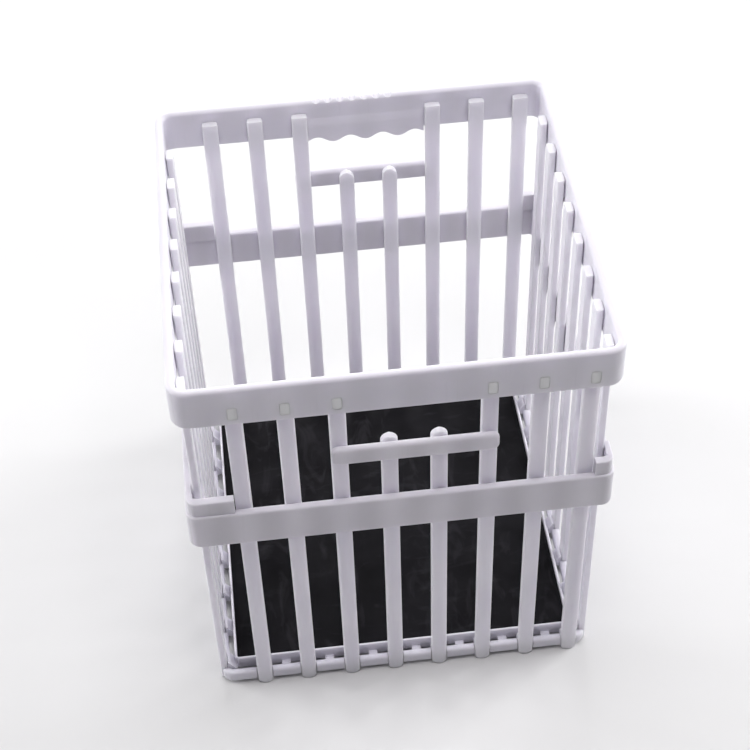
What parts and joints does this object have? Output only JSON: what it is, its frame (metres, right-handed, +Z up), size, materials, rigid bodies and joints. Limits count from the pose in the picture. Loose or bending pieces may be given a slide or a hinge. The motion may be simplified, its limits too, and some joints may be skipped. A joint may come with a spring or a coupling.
{
  "type": "slatted egg tray crate",
  "caption": "Open-topped square plastic crate of upright slats held by a top rim, a middle band and a base rail, with hand holes front and back and a loose black floor mat.",
  "frame": {"origin": "on the ground, under the middle of the crate", "axes": "+Z up, -Y front hand hole, +X right"},
  "size_m": [0.35, 0.35, 0.392],
  "materials": {
    "white_plastic": "milky white moulded polyethylene, satin, slightly translucent",
    "black_rubber": "charcoal rubber sheet, matt with faint scuffs"
  },
  "bodies": {
    "crate": {"top_rim": "white_plastic", "mid_band": "white_plastic", "base_tray": "white_plastic", "front_crossbar": "white_plastic", "back_crossbar": "white_plastic", "front_slat_1": "white_plastic", "front_slat_2": "white_plastic", "front_slat_3": "white_plastic", "front_slat_4": "white_plastic", "front_slat_5": "white_plastic", "front_slat_6": "white_plastic", "front_slat_7": "white_plastic", "front_slat_8": "white_plastic", "right_slat_1": "white_plastic", "right_slat_2": "white_plastic", "right_slat_3": "white_plastic", "right_slat_4": "white_plastic", "right_slat_5": "white_plastic", "right_slat_6": "white_plastic", "right_slat_7": "white_plastic", "right_slat_8": "white_plastic", "back_slat_1": "white_plastic", "back_slat_2": "white_plastic", "back_slat_3": "white_plastic", "back_slat_4": "white_plastic", "back_slat_5": "white_plastic", "back_slat_6": "white_plastic", "back_slat_7": "white_plastic", "back_slat_8": "white_plastic", "left_slat_1": "white_plastic", "left_slat_2": "white_plastic", "left_slat_3": "white_plastic", "left_slat_4": "white_plastic", "left_slat_5": "white_plastic", "left_slat_6": "white_plastic", "left_slat_7": "white_plastic", "left_slat_8": "white_plastic"},
    "mat": {"liner_mat": "black_rubber"}
  },
  "joints": [
    {"name": "mat_lift", "type": "slide", "parent": "crate", "child": "mat", "axis": [0, 0, 1], "range_m": [0, 0.4]}
  ]
}
